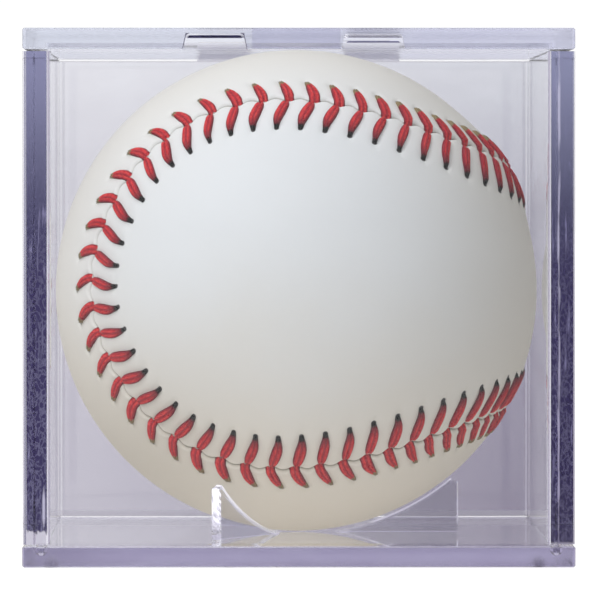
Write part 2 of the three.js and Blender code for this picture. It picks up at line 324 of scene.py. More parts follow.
# %% [markdown]
# ## The floor
# The floor is a sheet of pale paper, a wide disc in rings that grow outwards. Its rim is far out of
# sight. A single large square would do for a picture, but rings keep the faces near the cube small.

# %% Lay the floor
floor_radius = 6.0
floor_drop = 0.1 * MM
rings = floor_radius * np.linspace(0.0, 1.0, 25)[1:] ** 2
turns = np.linspace(0.0, 2 * np.pi, 97)[:-1]
around, outwards = np.meshgrid(turns, rings)
level = np.full_like(around, -floor_drop)
floor_points = np.stack([outwards * np.cos(around), outwards * np.sin(around), level], axis=-1)
ring_faces = grid_faces(len(rings), len(turns), close_columns=True).tolist()
floor = mesh_piece("floor", floor_points, [list(range(len(turns)))] + ring_faces)

# %% [markdown]
# The camera sees the paper as white as the tent. The light that it throws up at the ball is weaker
# and warmer, and it is a painted glow: it comes mostly from right below the cube, and fades within
# 40 cm, so the front wall doesn't reflect a bright floor.

# %% Finish the floor
paper = Finish(bpy.data.materials.new("pale_paper"))
paper_cloud = paper.noise(paper.place(), 0.05, 3.0)
paper_x, paper_y, _ = paper.axes(paper.place())
from_cube = (paper_x**2 + paper_y**2) ** 0.5
near_paper = paper.blend(paper_cloud, (0.38, 0.37, 0.35), (0.42, 0.41, 0.39))
# For all rays but the camera's, the paper is matt with a painted glow, strongest right below the cube.
glowing_matt = paper.surface(
    Base_Color=paper.blend(from_cube.step(140.0, 400.0), near_paper, (0.15, 0.15, 0.15)),
    Roughness=0.9,
    Emission_Color=paper.blend(from_cube.step(50.0, 140.0), (0.42, 0.40, 0.37), (0.04, 0.04, 0.04)),
    Emission_Strength=1.0,
)
lit = paper.surface(
    Base_Color=(0.1, 0.1, 0.1),
    Roughness=0.9,
    Emission_Color=paper.blend(paper_cloud, (0.98, 0.98, 0.98), (1.0, 1.0, 1.0)),
    Emission_Strength=1.02,
)
floor.data.materials.append(paper.show(paper.mix(paper.ray("Camera", "Transmission"), glowing_matt, lit)))

# %% [markdown]
# ## The seam
# Everything on the ball follows its seam, one closed curve that swings from pole to pole twice while
# it goes once round, and sways on its way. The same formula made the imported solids, with the same
# angles, so what we make here lies where they do.

# %% The seam's curve
ball_radius = 37.4 * MM
ball_centre = np.array([0.0, 0.0, 40.7]) * MM
neck_angle, sway_angle = np.radians([25.4, 21.5])
ball_turn = np.radians([-92.8, 80.4, -90.6])


def turn_matrix(angles):
    """Turns about X, Y and Z, multiplied in that order."""
    (cx, cy, cz), (sx, sy, sz) = np.cos(angles), np.sin(angles)
    about_x = np.array([[1, 0, 0], [0, cx, -sx], [0, sx, cx]])
    about_y = np.array([[cy, 0, sy], [0, 1, 0], [-sy, 0, cy]])
    about_z = np.array([[cz, -sz, 0], [sz, cz, 0], [0, 0, 1]])
    return about_x @ about_y @ about_z


def unit(vectors):
    return vectors / np.linalg.norm(vectors, axis=-1, keepdims=True)


def seam_point(t):
    """Unit vectors of the seam, t from 0 to 4 pi, in the ball's own frame:
    polar = pi/2 - (pi/2 - neck) cos t, around = t/2 + sway sin 2t."""
    polar = np.pi / 2 - (np.pi / 2 - neck_angle) * np.cos(t)
    around = t / 2 + sway_angle * np.sin(2 * t)
    return np.stack([np.sin(polar) * np.cos(around), np.sin(polar) * np.sin(around), np.cos(polar)], -1)


def seam_frame(t):
    """The seam's point at t, the way along it, and the way across it to the first cover."""
    out = seam_point(t)
    along = seam_point(t + 1e-3) - seam_point(t - 1e-3)
    along = unit(along - (along * out).sum(-1, keepdims=True) * out)
    return out, along, np.cross(out, along)


turn = turn_matrix(ball_turn)
fine_t = np.linspace(0.0, 4 * np.pi, 6481)
fine_seam = seam_point(fine_t)
fine_length = np.r_[0.0, np.cumsum(np.linalg.norm(np.diff(fine_seam, axis=0), axis=1))] * ball_radius
seam_length = fine_length[-1]
print("seam length, mm:", round(seam_length / MM, 1))

# %% [markdown]
# ## Where the stitches sit
# A real ball has 108 pairs of stitches. They are sewn by hand, so their spacing drifts: on the side
# that the photograph shows they are a little wider apart than on the far side. Equal steps would be
# simpler, but they would end up beside the real stitches. Two slow waves over the whole seam follow
# them.

# %% The rhythm of the stitches
pair_count = 108
pitch = seam_length / pair_count
drift, drift_start, drift_shift = 3.16 * MM, 20.4, -1.12 * MM
ripple, ripple_start, ripple_swings = 0.42 * MM, -0.7, 4


def pair_place(number):
    """Distance along the seam of a pair: its number times the pitch, plus two slow waves."""
    wave = np.sin(2 * np.pi * (number - drift_start) / pair_count)
    small_wave = np.sin(2 * np.pi * ripple_swings * (number - ripple_start) / pair_count)
    return number * pitch + drift * wave + ripple * small_wave + drift_shift


pair_t = np.interp(pair_place(np.arange(pair_count)) % seam_length, fine_length, fine_t)
print("stitch pitch, mm:", round(pitch / MM, 2))

# %% [markdown]
# Two coordinates describe every place near the seam: how many stitches along it we are, and how far
# across it. They come from the nearest of the curve's 6480 points, and then from the two distances
# to that point, so they are exact between the points too.

# %% Coordinates along and across the seam
numbers_past_ends = np.arange(-4, pair_count + 5)
batch = 4096


def seam_coordinates(directions):
    """For unit vectors in the ball's frame: the nearest place on the seam, counted in stitches, and
    the signed distance across, positive on the first cover."""
    flat = directions.reshape(-1, 3)
    near = np.empty(len(flat), int)
    sample = fine_seam[:-1].astype(np.float32)
    for start in range(0, len(flat), batch):
        part = flat[start : start + batch].astype(np.float32)
        near[start : start + batch] = (part @ sample.T).argmax(1)
    out, along, across = seam_frame(fine_t[near])
    height = (flat * out).sum(1)
    ahead = np.arctan2((flat * along).sum(1), height) * ball_radius
    side = np.arctan2((flat * across).sum(1), height) * ball_radius
    count = np.interp(fine_length[near] + ahead, pair_place(numbers_past_ends), numbers_past_ends)
    return count.reshape(directions.shape[:-1]), side.reshape(directions.shape[:-1])


def nearest_repeat(distance, period):
    """A distance that repeats, taken from its nearest zero."""
    return (distance + period / 2) % period - period / 2


found_count, found_side = seam_coordinates(seam_point(pair_t))
off_along = nearest_repeat(found_count - np.arange(pair_count), pair_count) * pitch
print("pairs found again, off by mm:", np.abs([off_along / MM, found_side / MM]).max(1).round(5))

# %% [markdown]
# ## How thread shapes leather
# Seen close, the leather is never a plain sphere near the seam. It dips towards the seam, rolls over
# at its edge, sinks under each leg of a stitch and swells up between two of them, and it is punched
# through at each hole. The edge itself isn't straight either: thread pulls it back at each stitch
# and lets it bulge in between. On one stretch, at the upper right of the photograph, the whole seam
# stands up in a low ridge.
#
# A bump map could hint at all this, but it would leave the ball's outline and the edges of the
# covers smooth. So it is one height over the leather, a sum of bells.

# %% The measures of the leather beside the seam
leg_root = {1: (-1.03, -1.5), -1: (-1.4, -1.65)}  # where a leg leaves the seam: along, across, mm
leg_hole = {1: (0.3, 4.75), -1: (0.27, -6.6)}  # where it goes into the leather
edge_middle, edge_bulge, edge_phase = -1.95 * MM, 0.3 * MM, 0.3
dip_depth, dip_width, dip_power = 0.25 * MM, 6.0 * MM, 1.4
ridge_number, ridge_reach = 4.0, 4.5  # the pair it is highest at, and how many pairs it takes in
ridge_height, ridge_width = 1.0 * MM, 6.0 * MM
roll_depth, roll_width = 0.32 * MM, 0.26 * MM
swell_height, swell_away, swell_width = 0.1 * MM, 0.75 * MM, 0.5 * MM
puff_height, puff_start, puff_end = 0.12 * MM, 0.5 * MM, 1.5 * MM
hollow_depth, hollow_width = 0.28 * MM, 0.8 * MM
pit_depth, pit_width = 0.26 * MM, 0.5 * MM
print("holes across the seam, mm:", leg_hole[1][1], "and", leg_hole[-1][1])

# %% [markdown]
# The height takes the two seam coordinates. What repeats with each pair of stitches is worked out
# from the nearest pair, so one line shapes the leather at all 108 of them.


# %% The height of the leather
def bell(distance, width):
    return np.exp(-((distance / width) ** 2))


def edge_line(count):
    """Where the two covers meet: a wave with one swing for each pair of stitches."""
    return edge_middle + edge_bulge * np.cos(2 * np.pi * (count + edge_phase))


def leg_line(across, side):
    """Where along the seam a leg's middle lies at this distance across."""
    (root_along, root_across), (hole_along, hole_across) = leg_root[side], leg_hole[side]
    slope = (hole_along - root_along) / (hole_across - root_across)
    return root_along * MM + slope * (across - root_across * MM)


def leather_height(count, across):
    """Height over the ball's radius: a wide dip, a ridge on one stretch, a rolled edge, a swell
    beside it, a hollow under each leg and a pit at each hole."""
    gap = across - edge_line(count)
    height = -dip_depth * np.clip(1 - np.abs(gap) / dip_width, 0, None) ** dip_power
    from_ridge = nearest_repeat(count - ridge_number, pair_count)
    height += ridge_height * bell(from_ridge, ridge_reach) * bell(gap, ridge_width)
    height -= roll_depth * bell(gap, roll_width)
    height += swell_height * bell(np.abs(gap) - swell_away, swell_width)
    ahead = count * pitch
    for side in (1, -1):
        hole_along, hole_across = (value * MM for value in leg_hole[side])
        reach = np.clip(gap * side / puff_start, 0, 1)
        reach = reach * np.clip((hole_across - across) * side / puff_end + 0.5, 0, 1)
        beside_leg = nearest_repeat(ahead - leg_line(across, side), pitch)
        height += reach * (puff_height - hollow_depth * bell(beside_leg, hollow_width))
        beside_hole = nearest_repeat(ahead - hole_along, pitch)
        height -= pit_depth * bell(np.hypot(beside_hole, across - hole_across), pit_width)
    return height


heights = leather_height(0.0, np.linspace(-8.0, 8.0, 1601) * MM) / MM
print("leather beside pair 0, mm high:", heights.min().round(2), "to", heights.max().round(2))

# %% [markdown]
# ## The two leather covers
# A cover is a figure eight. Its rows run across it from the seam on one side to the same place on
# the other side, and they shrink to a point at each round end. The points crowd towards the seam,
# where the shape is busy, and spread out over the smooth middle. Cutting a fine sphere along the
# seam would be easier to think of, but it would leave a ragged edge. The second cover is the first
# one turned half round about a line through two crossings of the seam. That turn carries the seam
# onto itself, so both covers use one way of making rows.

# %% Rows across a cover
cover_rows = 1000
cover_columns = 33  # from the seam to the middle of the cover
edge_gap = 0.1 * MM
crowded_width = 8.4 * MM
swap = np.array([[0.0, -1.0, 0.0], [-1.0, 0.0, 0.0], [0.0, 0.0, -1.0]])
mirror = np.array([-1.0, 1.0, 1.0])


def edge_points(out, across, to_ball, side, flip):
    """Unit vectors of a cover's edge, beside the seam by the wave of the edge line."""
    count, _ = seam_coordinates((out * flip) @ to_ball.T)
    shift = edge_line(count) * side + edge_gap / 2
    return unit(out + across * (shift / ball_radius)[:, None]) * flip


def cover_directions(side):
    """Unit vectors [row, column] in the ball's frame. On each row the distance from the seam is
    a u + (half - a) u^3, so the points lie evenly near the seam and wider in the middle."""
    to_ball = np.eye(3) if side > 0 else swap
    out, _, across = seam_frame(np.linspace(-np.pi, np.pi, cover_rows + 1))
    start = edge_points(out, across, to_ball, side, np.ones(3))
    end = edge_points(out, across, to_ball, side, mirror)
    start[[0, -1]] = unit((start + end)[[0, -1]])
    end[[0, -1]] = start[[0, -1]]
    angle = np.arccos(np.clip((start * end).sum(1), -1, 1))
    half = angle / 2
    even = np.minimum(half, crowded_width / ball_radius)
    u = np.linspace(0, 1, cover_columns + 1)
    reach = even[:, None] * u + (half - even)[:, None] * u**3
    reach = np.concatenate([reach, angle[:, None] - reach[:, -2::-1]], axis=1)
    whole = np.maximum(angle, 1e-9)[:, None]
    a, b = np.sin(whole - reach) / np.sin(whole), np.sin(reach) / np.sin(whole)
    rows = unit(a[..., None] * start[:, None] + b[..., None] * end[:, None])
    rows[[0, -1]] = start[[0, -1], None]
    return rows @ to_ball.T


outside_points = {side: cover_directions(side) for side in (1, -1)}
print("rows and columns of a cover:", outside_points[1].shape[:2])

# %% [markdown]
# The leather's finish has to know where the stitches are, to the tenth of a millimetre. So each
# cover gets a UV map with U counted in stitches along the seam and V in millimetres across it. Where
# the count starts again at 0, the corners of a face are kept on one side of the join.


# %% Map the seam onto a cover
def map_seam(mesh, count, across):
    """A UV map from two values at each point: U is the count of stitches, V the distance in mm."""
    corner_points = np.empty(len(mesh.loops), int)
    mesh.loops.foreach_get("vertex_index", corner_points)
    starts = np.empty(len(mesh.polygons), int)
    mesh.polygons.foreach_get("loop_start", starts)
    sizes = np.diff(np.r_[starts, len(corner_points)])
    u, v = count[corner_points], across[corner_points] / MM
    highest = np.repeat(np.maximum.reduceat(u, starts), sizes)
    u = np.where(highest - u > pair_count / 2, u + pair_count, u)
    layer = mesh.uv_layers.new(name="seam_map")
    layer.data.foreach_set("uv", np.stack([u, v], axis=1).astype(np.float32).ravel())


# %% [markdown]
# Joining points renumbers them, and the map needs two numbers at each. So the numbers are stored on
# the mesh before points are joined, and read back after. The same way of storing serves a finish
# that asks where on a piece it is.


# %% Faces outwards, and numbers on points
def turn_outwards(piece, join_within=0.0):
    """Joins points closer than a distance and turns all faces outwards."""
    mesh = bmesh.new()
    mesh.from_mesh(piece.data)
    if join_within:
        bmesh.ops.remove_doubles(mesh, verts=mesh.verts, dist=join_within)
    bmesh.ops.recalc_face_normals(mesh, faces=mesh.faces)
    mesh.to_mesh(piece.data)
    mesh.free()


def store(piece, name, values):
    """Keeps one number at each point of a piece, under a name."""
    channel = piece.data.attributes.new(name, "FLOAT", "POINT")
    channel.data.foreach_set("value", values.astype(np.float32).ravel())


def stored(piece, name):
    """The numbers that a piece keeps under a name."""
    values = np.empty(len(piece.data.vertices), np.float32)
    piece.data.attributes[name].data.foreach_get("value", values)
    return values


# %% [markdown]
# Each row of points goes on round the edge of the leather and back along its inside, with fewer
# points there, so a cover is a closed body of real thickness. A single sheet would look the same on
# a closed ball, but it would show a bare edge as soon as a cover comes off.

# %% Make the covers
leather_thickness = 1.2 * MM
inside_step = 6  # one inside point for so many outside ones
touching = 1e-7  # points as near as this are one


def leather_cover(name, side, node):
    """A closed cover: the outside with its height, and the inside a leather's thickness below."""
    outside = outside_points[side]
    count, across = seam_coordinates(outside)
    radius = ball_radius + leather_height(count, across)
    inside = outside[:, ::-inside_step] * (ball_radius - leather_thickness)
    points = ball_centre + np.concatenate([outside * radius[..., None], inside], axis=1) @ turn.T
    faces = grid_faces(*points.shape[:2], close_columns=True).tolist()
    piece = mesh_piece(name, points, faces)
    for key, values in (("seam_count", count), ("seam_side", across)):
        store(piece, key, np.concatenate([values, values[:, ::-inside_step]], axis=1))
    turn_outwards(piece, touching)
    map_seam(piece.data, stored(piece, "seam_count"), stored(piece, "seam_side"))
    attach(piece, "ball")
    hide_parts(node)
    return piece


cover_a = leather_cover("leather_cover_a", 1, "ball_cover_a")
cover_b = leather_cover("leather_cover_b", -1, "ball_cover_b")

# %% [markdown]
# ## The stitches
# Each pair is a V of two legs that come up out of the seam and go down through a hole. A leg is a
# waxed double thread, pressed flat: broad near the seam, narrow where it dives into the leather,
# with a crease between its two strands. One leg could be modelled and copied 216 times, but copies
# look like a machine's work. So all legs are one array, a six-sided profile carried along a short
# path, and the small differences that hand sewing leaves are random numbers added to its values.

# %% The path and the width of a leg
leg_steps = np.array([0.0, 0.07, 0.18, 0.32, 0.46, 0.6, 0.73, 0.83, 0.92, 1.0])
leg_widths = {
    1: [0.9, 1.2, 1.5, 1.7, 1.72, 1.6, 1.34, 1.06, 0.88, 0.78],
    -1: [1.55, 1.65, 1.75, 1.8, 1.72, 1.5, 1.12, 0.7, 0.6, 0.52],
}
leg_bend = {
    1: [0.0, 0.09, 0.25, 0.46, 0.66, 0.84, 0.95, 0.99, 1.0, 1.0],
    -1: [0.0, 0.03, 0.08, 0.17, 0.29, 0.47, 0.69, 0.88, 0.97, 1.0],
}
strand_profile = np.array([[-1.0, 0.1], [-0.62, 0.96], [0.0, 0.66], [0.62, 0.96], [1.0, 0.1], [0.0, -0.2]])
print("steps along a leg:", len(leg_steps), " corners round it:", len(strand_profile))

# %% [markdown]
# A leg rises out of the seam, lies on the leather and sinks in at its hole. Its underside follows
# the height of the leather below it, so no leg floats or cuts through.

# %% Legs as one array
rise_share, fall_share, fall_end = 0.12, 0.16, 1.1  # of a leg's length
deepest = -0.6 * MM
sunk, sunk_at_ends = 0.03 * MM, 0.25 * MM
thin, thicker = 0.2 * MM, 0.48 * MM
luck_size = np.array([0.008, 0.08, 0.06, 0.06])[:, None, None]
chance = np.random.default_rng(11)


def leg_array(side):
    """Points [pair, step, corner] of all legs of one side. The path runs across evenly from root to
    hole and along by the bend list. Widths come from their list, heights from the leather below."""
    u = leg_steps
    luck_reach, luck_sway, luck_width, luck_thick = chance.standard_normal((4, pair_count, 1)) * luck_size
    (root_along, root_across), (hole_along, hole_across) = leg_root[side], leg_hole[side]
    sideways = (root_across + (hole_across - root_across) * (1 + luck_reach) * u) * MM
    bent = root_along + (hole_along - root_along) * np.array(leg_bend[side])
    ahead = (bent + luck_sway * np.sin(np.pi * u)) * MM
    width = np.array(leg_widths[side]) * MM * (1 + luck_width)
    out, along, across = (axis[:, None] for axis in seam_frame(pair_t))
    path = unit(out + (along * ahead[..., None] + across * sideways[..., None]) / ball_radius)
    count = np.arange(pair_count)[:, None] + ahead / pitch
    rise = np.clip(u / rise_share, 0, 1) * np.clip((fall_end - u) / fall_share, 0, 1)
    bottom = np.maximum(leather_height(count, sideways), deepest) - sunk - sunk_at_ends * (1 - rise)
    thick = (thin + thicker * rise) * (1 + luck_thick)
    forward = np.gradient(path, axis=1)
    forward = unit(forward - (forward * path).sum(-1, keepdims=True) * path)
    crosswise = np.cross(path, forward)
    offset = strand_profile[:, 0] * 0.5 * width[..., None]
    lift = bottom[..., None] + strand_profile[:, 1] * thick[..., None]
    points = path[:, :, None] * (ball_radius + lift)[..., None] + crosswise[:, :, None] * offset[..., None]
    return ball_centre + points @ turn.T


legs = np.concatenate([leg_array(1), leg_array(-1)])
print("legs, steps, corners:", legs.shape[:3])

# %% [markdown]
# Two hundred and sixteen legs share one small grid of faces. Its point numbers are shifted on from
# leg to leg, and a flat cap shuts each end. The finish needs to know where on a leg it is, so three
# values go with every point: how far along, how far across, and which side of the seam.


# %% Sew the stitches
def sewn(legs):
    """Faces of all the tubes and the caps at both ends of each."""
    count, steps, corners = legs.shape[:3]
    tube = grid_faces(steps, corners, close_columns=True)
    caps = np.array([np.arange(corners)[::-1], np.arange(corners) + (steps - 1) * corners])
    shift = np.arange(count)[:, None, None] * steps * corners
    return (tube + shift).reshape(-1, 4).tolist() + (caps + shift).reshape(-1, corners).tolist()


stitches = mesh_piece("red_stitches", legs, sewn(legs))
every_point = np.ones(legs.shape[:3])
store(stitches, "along_leg", every_point * leg_steps[:, None])
store(stitches, "across_leg", every_point * strand_profile[:, 0])
store(stitches, "inner_side", every_point * np.repeat([1.0, 0.0], pair_count)[:, None, None])
turn_outwards(stitches)
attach(stitches, "ball")
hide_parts("ball_stitching")

# %% [markdown]
# ## White leather
# The leather is alum-tanned hide: cool white, smooth, with a grain that only shows where light
# grazes it. Low on the ball it is painted creamy, a painted warm light that it picks up from below.
# Its sides are painted creamier than the front, a painted warm light at the rim, and its lower left
# and its right side are painted darker, as painted shade. One flat white would look like plastic, so
# the hide gets a ground colour that wanders a little, and five thin coats.

# %% The colour of the hide
leather = Finish(bpy.data.materials.new("white_leather"))
spot = leather.place()
x, y, z = leather.axes(spot)
cloud = leather.noise(spot, 0.06, 4.0)
fleck = leather.noise(spot, 1.4, 3.0)

# Painted warm light towards the sides and low down, and painted shade at the lower left and on the right.
warm_light_sides = y.step(-34.0, -8.0) * 0.8
warm_light_below = 1 - (z + cloud * 16.0).step(6.0, 60.0)
shade_lower_left = (1 - z.step(10.0, 42.0)) * (-x).step(2.0, 26.0) * 0.8
shade_right_side = x.step(8.0, 36.0) * 0.35
hide = leather.coats(
    leather.blend(cloud, (0.79, 0.82, 0.835), (0.83, 0.86, 0.875)),
    (warm_light_sides, (0.84, 0.815, 0.755)),
    (warm_light_below, (0.82, 0.765, 0.65)),
    (shade_lower_left, (0.62, 0.575, 0.49)),
    (shade_right_side, (0.66, 0.64, 0.58)),
    (fleck.step(0.5, 0.75) * 0.06, (0.6, 0.57, 0.52)),
)
print("nodes for the hide's colour:", len(leather.tree.nodes))

# %% [markdown]
# The groove between the covers is darkened, by wear and by painted shade, and each hole is a dark
# point of painted shade. Both are drawn in the seam's own coordinates, which the UV map carries.

# %% The marks of the sewing
narrow_hole, wide_hole = 0.42, 0.52  # mm from the middle of a hole to the end of its mark

seam_map = leather.node("ShaderNodeUVMap", {"uv_map": "seam_map"})
stitch_count, across, _ = leather.axes(seam_map)
ahead = ((stitch_count + 0.5).fraction() - 0.5) * (pitch / MM)
wave = (stitch_count * (2 * np.pi) + (2 * np.pi * edge_phase + np.pi / 2)).sine()
gap = across - (wave * (edge_bulge / MM) + edge_middle / MM)


def hole_shade_mark(side, wide):
    """A round mark of painted shade on each hole of one side, soft at its rim."""
    middle_along, middle_across = leg_hole[side]
    far = ((ahead - middle_along) ** 2 + (across - middle_across) ** 2) ** 0.5
    return 1 - far.step(wide * 0.55, wide)


# Wear and painted shade in the groove, and painted shade in the holes.
hide_with_shade = leather.coats(
    hide,
    (gap.line(0.0, 0.03, 0.24) * 0.7, (0.24, 0.21, 0.15)),
    (hole_shade_mark(-1, narrow_hole) * 0.7, (0.13, 0.11, 0.06)),
    (hole_shade_mark(1, wide_hole), (0.012, 0.010, 0.012)),
)
print("nodes with the marks:", len(leather.tree.nodes))

# %% [markdown]
# The grain is pebbles of half a millimetre with pores between them. It is far too fine for the mesh,
# so a faint bump carries it. A trace of sheen stands for the nap that catches light at the rim.

# %% Finish the leather
grain_inputs = {"Vector": spot, "Scale": 1.6, "Smoothness": 0.6}
grain = leather.node("ShaderNodeTexVoronoi", {"feature": "SMOOTH_F1"}, grain_inputs)
pores = leather.noise(spot, 5.0, 3.0)
leather_look = leather.show(
    leather.surface(
        Base_Color=hide_with_shade,
        Roughness=0.5 + cloud * 0.12,
        IOR=1.45,
        Sheen_Weight=0.12,
        Sheen_Roughness=0.3,
        Sheen_Tint=(1.0, 0.86, 0.66),
        Normal=leather.bump(grain * 0.7 + pores * 0.5, 0.05 * MM, 0.35),
    )
)
for piece in (cover_a, cover_b):
    piece.data.materials.append(leather_look)

# %% [markdown]
# ## Waxed thread
# The thread is twisted from red cotton, so fine slanting ridges cross each strand. A painted
# highlight lies on the crown of each strand, and painted shade in the crease between them and at the
# edges. The legs on the big front panel darken with painted shade as they dive, and vanish into dark
# holes in a tail of painted shade. Those on the other side end in a tan tail, painted light where it
# falls into their holes. A picture of thread could be wrapped round the legs, but masks made from the
# three stored values fit every leg without a map.

# %% The colour of the thread
thread = Finish(bpy.data.materials.new("waxed_red_thread"))
u, v, inner = (thread.attribute(name) for name in ("along_leg", "across_leg", "inner_side"))
fibre = thread.noise(thread.place(), 3.2, 3.0)
strands = (v * 7.5 + fibre * 2.0).sine()

# A painted highlight on the crowns; painted shade in the crease, at the rim, where inner legs dive and in
# their tails; painted light on the tan tails.
crown_highlight = v.size().line(0.42, 0.05, 0.3) * fibre.step(0.38, 0.6) * 0.55
crease_shade = (1 - v.size().step(0.0, 0.3)) * 0.35
rim = v.size().step(0.5, 1.0) * 0.85
dive_shade = u.step(0.55, 0.9) * inner * 0.7
tail_hole_shade = (u + fibre * 0.1).step(0.91, 1.0) * inner
tan_tail_light = (u + fibre * 0.08).step(0.78, 0.84) * (1 - inner)
dye_and_painted_light = thread.coats(
    thread.blend(fibre.step(0.3, 0.7), (0.46, 0.010, 0.026), (0.70, 0.028, 0.042)),
    (crown_highlight, (0.88, 0.085, 0.07)),
    (strands.step(0.2, 1.0) * 0.35, (0.22, 0.006, 0.02)),
    ((crease_shade + rim).least(1.0), (0.13, 0.005, 0.02)),
    (dive_shade, (0.10, 0.006, 0.02)),
    (tail_hole_shade, (0.001, 0.001, 0.002)),
    (tan_tail_light, (0.27, 0.205, 0.105)),
)
print("nodes for the thread's colour:", len(thread.tree.nodes))

# %% [markdown]
# Twist and fibres are thinner than a tenth of a millimetre, so they are a bump. Waxed cotton barely
# shines.

# %% Finish the thread
twist = (u * 70.0 + v.size() * 4.0).sine()
thread_look = thread.show(
    thread.surface(
        Base_Color=dye_and_painted_light,
        Roughness=0.7,
        Specular_IOR_Level=0.06,
        Normal=thread.bump(twist * 0.4 + fibre + strands * 0.4, 0.07 * MM, 0.6),
    )
)
stitches.data.materials.append(thread_look)

# %% [markdown]
# ## The wound core
# The core is out of sight unless the covers come off. It is yarn wound round a pill. Real windings
# could be modelled, but nobody will look closely, so bands of light and shade wander over the packed
# solid.

# %% Finish the hidden core
yarn = Finish(bpy.data.materials.new("wound_yarn"))
winding_inputs = {"Vector": yarn.place(), "Scale": 0.9, "Distortion": 6.0}
winding = yarn.node("ShaderNodeTexWave", {"wave_type": "BANDS"}, winding_inputs, "Fac")
yarn_colour = yarn.blend(winding, (0.46, 0.41, 0.33), (0.68, 0.63, 0.53))
yarn_look = yarn.show(
    yarn.surface(Base_Color=yarn_colour, Roughness=0.95, Normal=yarn.bump(winding, 0.3 * MM))
)


def dress(node, look):
    """Gives a CAD node its finish and leaves its shape alone."""
    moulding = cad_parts[node]
    moulding.data.materials.clear()
    moulding.data.materials.append(look)
    print(node, "wears", look.name)


dress("ball_core", yarn_look)

# %% [markdown]
# ## Clear plastic
# Polystyrene is clear through a wall but not along it. Looked at along its length, a wall shows the
# dark room and its own flow lines, which is why the cube has indigo bands at its upright edges and a
# lavender base and lid. A volume that takes light away would do the same, slowly and with noise. We
# paint the tints where they are seen: on the narrow faces of each moulding.
#
# Light that only has to reach the ball passes straight through, which keeps the shading clean.


# %% A clear finish with its tint
def clear_plastic(name, tint):
    """Clear plastic. tint is a function of the finish and the place, and gives colour, roughness
    and the glow of edges that gather light."""
    finish = Finish(bpy.data.materials.new(name))
    spot = finish.place()
    colour, roughness, glow = tint(finish, spot)
    swirl = finish.noise(spot, (0.02, 0.02, 0.05))
    glass = finish.surface(
        Base_Color=colour,
        Roughness=roughness,
        IOR=1.5,
        Specular_IOR_Level=0.08,
        Transmission_Weight=1.0,
        Emission_Color=glow,
        Emission_Strength=1.0,
        Normal=finish.bump(swirl, 0.2 * MM, 0.2),
    )
    through = finish.node("ShaderNodeBsdfTransparent", None, {"Color": (0.97, 0.97, 0.98)})
    return finish.show(finish.mix(finish.ray("Shadow", "Diffuse"), glass, through))


# %% [markdown]
# ## The sleeve
# Its walls are nearly clear in front. The back wall is painted with the soft grey of the room's
# shade behind it, a painted shade which deepens towards the lower right, and the side walls slope
# from the one to the other. The far corners get a painted shade too.

# %% The tone of the walls
wall_face, wall_inside, wall_top = 41.25, 37.85, 77.0  # mm from the middle, and over the floor


def front_face(y):
    """1 on the narrow front faces of the sleeve and on the front wall."""
    return 1 - y.step(-wall_face + 0.05, -wall_face + 0.1)


def wall_colour(finish, spot):
    x, y, z = finish.axes(spot)
    wide = x.size()
    patch = finish.noise(spot, (0.13, 0.13, 0.2), 3.0) * 0.16 - 0.08
    height = (z / wall_top).least(1.0).most(0.0) + patch
    rightwards = ((x + wall_inside) / (2 * wall_inside)).least(1.0).most(0.0)
    # Painted shade: the room's grey, darker low down and to the right, and the far corners.
    high = finish.blend(rightwards, (0.765, 0.765, 0.82), (0.625, 0.635, 0.70))
    low = finish.blend(rightwards, (0.47, 0.45, 0.525), (0.205, 0.18, 0.26))
    room_shade = finish.blend(height.most(0.0) ** 2.0, low, high)
    back_wall = y.step(wall_inside - 0.2, wall_inside - 0.1)
    far_corner_shade = y.step(34.0, 36.0) * wide.step(36.9, 37.3) * 0.3
    side_wall = wide.step(wall_inside - 0.2, wall_inside - 0.1) * (1 - front_face(y))
    return finish.coats(
        (0.985, 0.985, 0.99),
        (back_wall, room_shade),
        (far_corner_shade, (0.30, 0.29, 0.37)),
        (side_wall, finish.blend(y.step(0.0, 32.0), (0.88, 0.875, 0.915), room_shade)),
    )


print("walls, mm thick:", round(wall_face - wall_inside, 2))

# %% [markdown]
# Two dark bands run up the front edges, where we look along the side walls and see the dark room as
# painted shade. They are indigo, greyer at the top, with long streaks and a web of fine veins. One
# painted highlight stands in each, a bright line: short and low on the left, long and broken on the
# right.

# %% The colour of the dark bands
crackle_scale = (1.3, 1.3, 0.7)


def band_colour(finish, spot):
    x, _, z = finish.axes(spot)
    fine = finish.noise(spot, (2.2, 2.2, 0.16), 5.0)
    crackle = finish.noise(spot, crackle_scale, 4.0)
    web = finish.noise(spot, (1.5, 1.5, 0.9), 6.0)
    top_grey = z.step(30.0, 80.0) ** 3.0
    grey = finish.blend(x.step(-1.0, 1.0), (0.085, 0.087, 0.21), (0.108, 0.114, 0.245))
    streak = fine.step(0.56, 0.72) * (0.35 + crackle.step(0.45, 0.75) * 0.65) * (1 - top_grey * 0.6)
    vein = web.line(0.5, 0.0, 0.07) * (1 - z.step(20.0, 60.0) * 0.75) * 0.22
    off_left_line = (x + 38.1).size().step(0.05, 0.3) + z.step(10.0, 12.5) + (1 - z.step(5.5, 7.5))
    off_right_line = (x - 38.8).size().step(0.05, 0.3) + (1 - fine.step(0.4, 0.6)) * 0.85
    # A painted highlight in each band.
    band_highlight = 1 - off_left_line.least(off_right_line).least(1.0)
    return finish.coats(
        finish.blend(top_grey, (0.0030, 0.0020, 0.0170), grey),
        (streak.most(vein), (0.12, 0.11, 0.28)),
        (band_highlight, (0.40, 0.38, 0.60)),
    )


print("crackle, features to the mm:", crackle_scale)

# %% [markdown]
# The bands go on the walls together with what else is seen on the sleeve's edges: a thin line inside
# each band, the paler outer edge on the left, a pale block under each band, and the dark tops of the
# two front tongues. The ends of the back wall are a little rough, so that the gaps there don't draw
# hard lines.

# %% Tint the sleeve
polish = 0.03  # roughness of the smooth faces
no_glow = (0.0, 0.0, 0.0)
band_start = 37.65
long_tongue_x, short_tongue_x = -12.55, 11.1


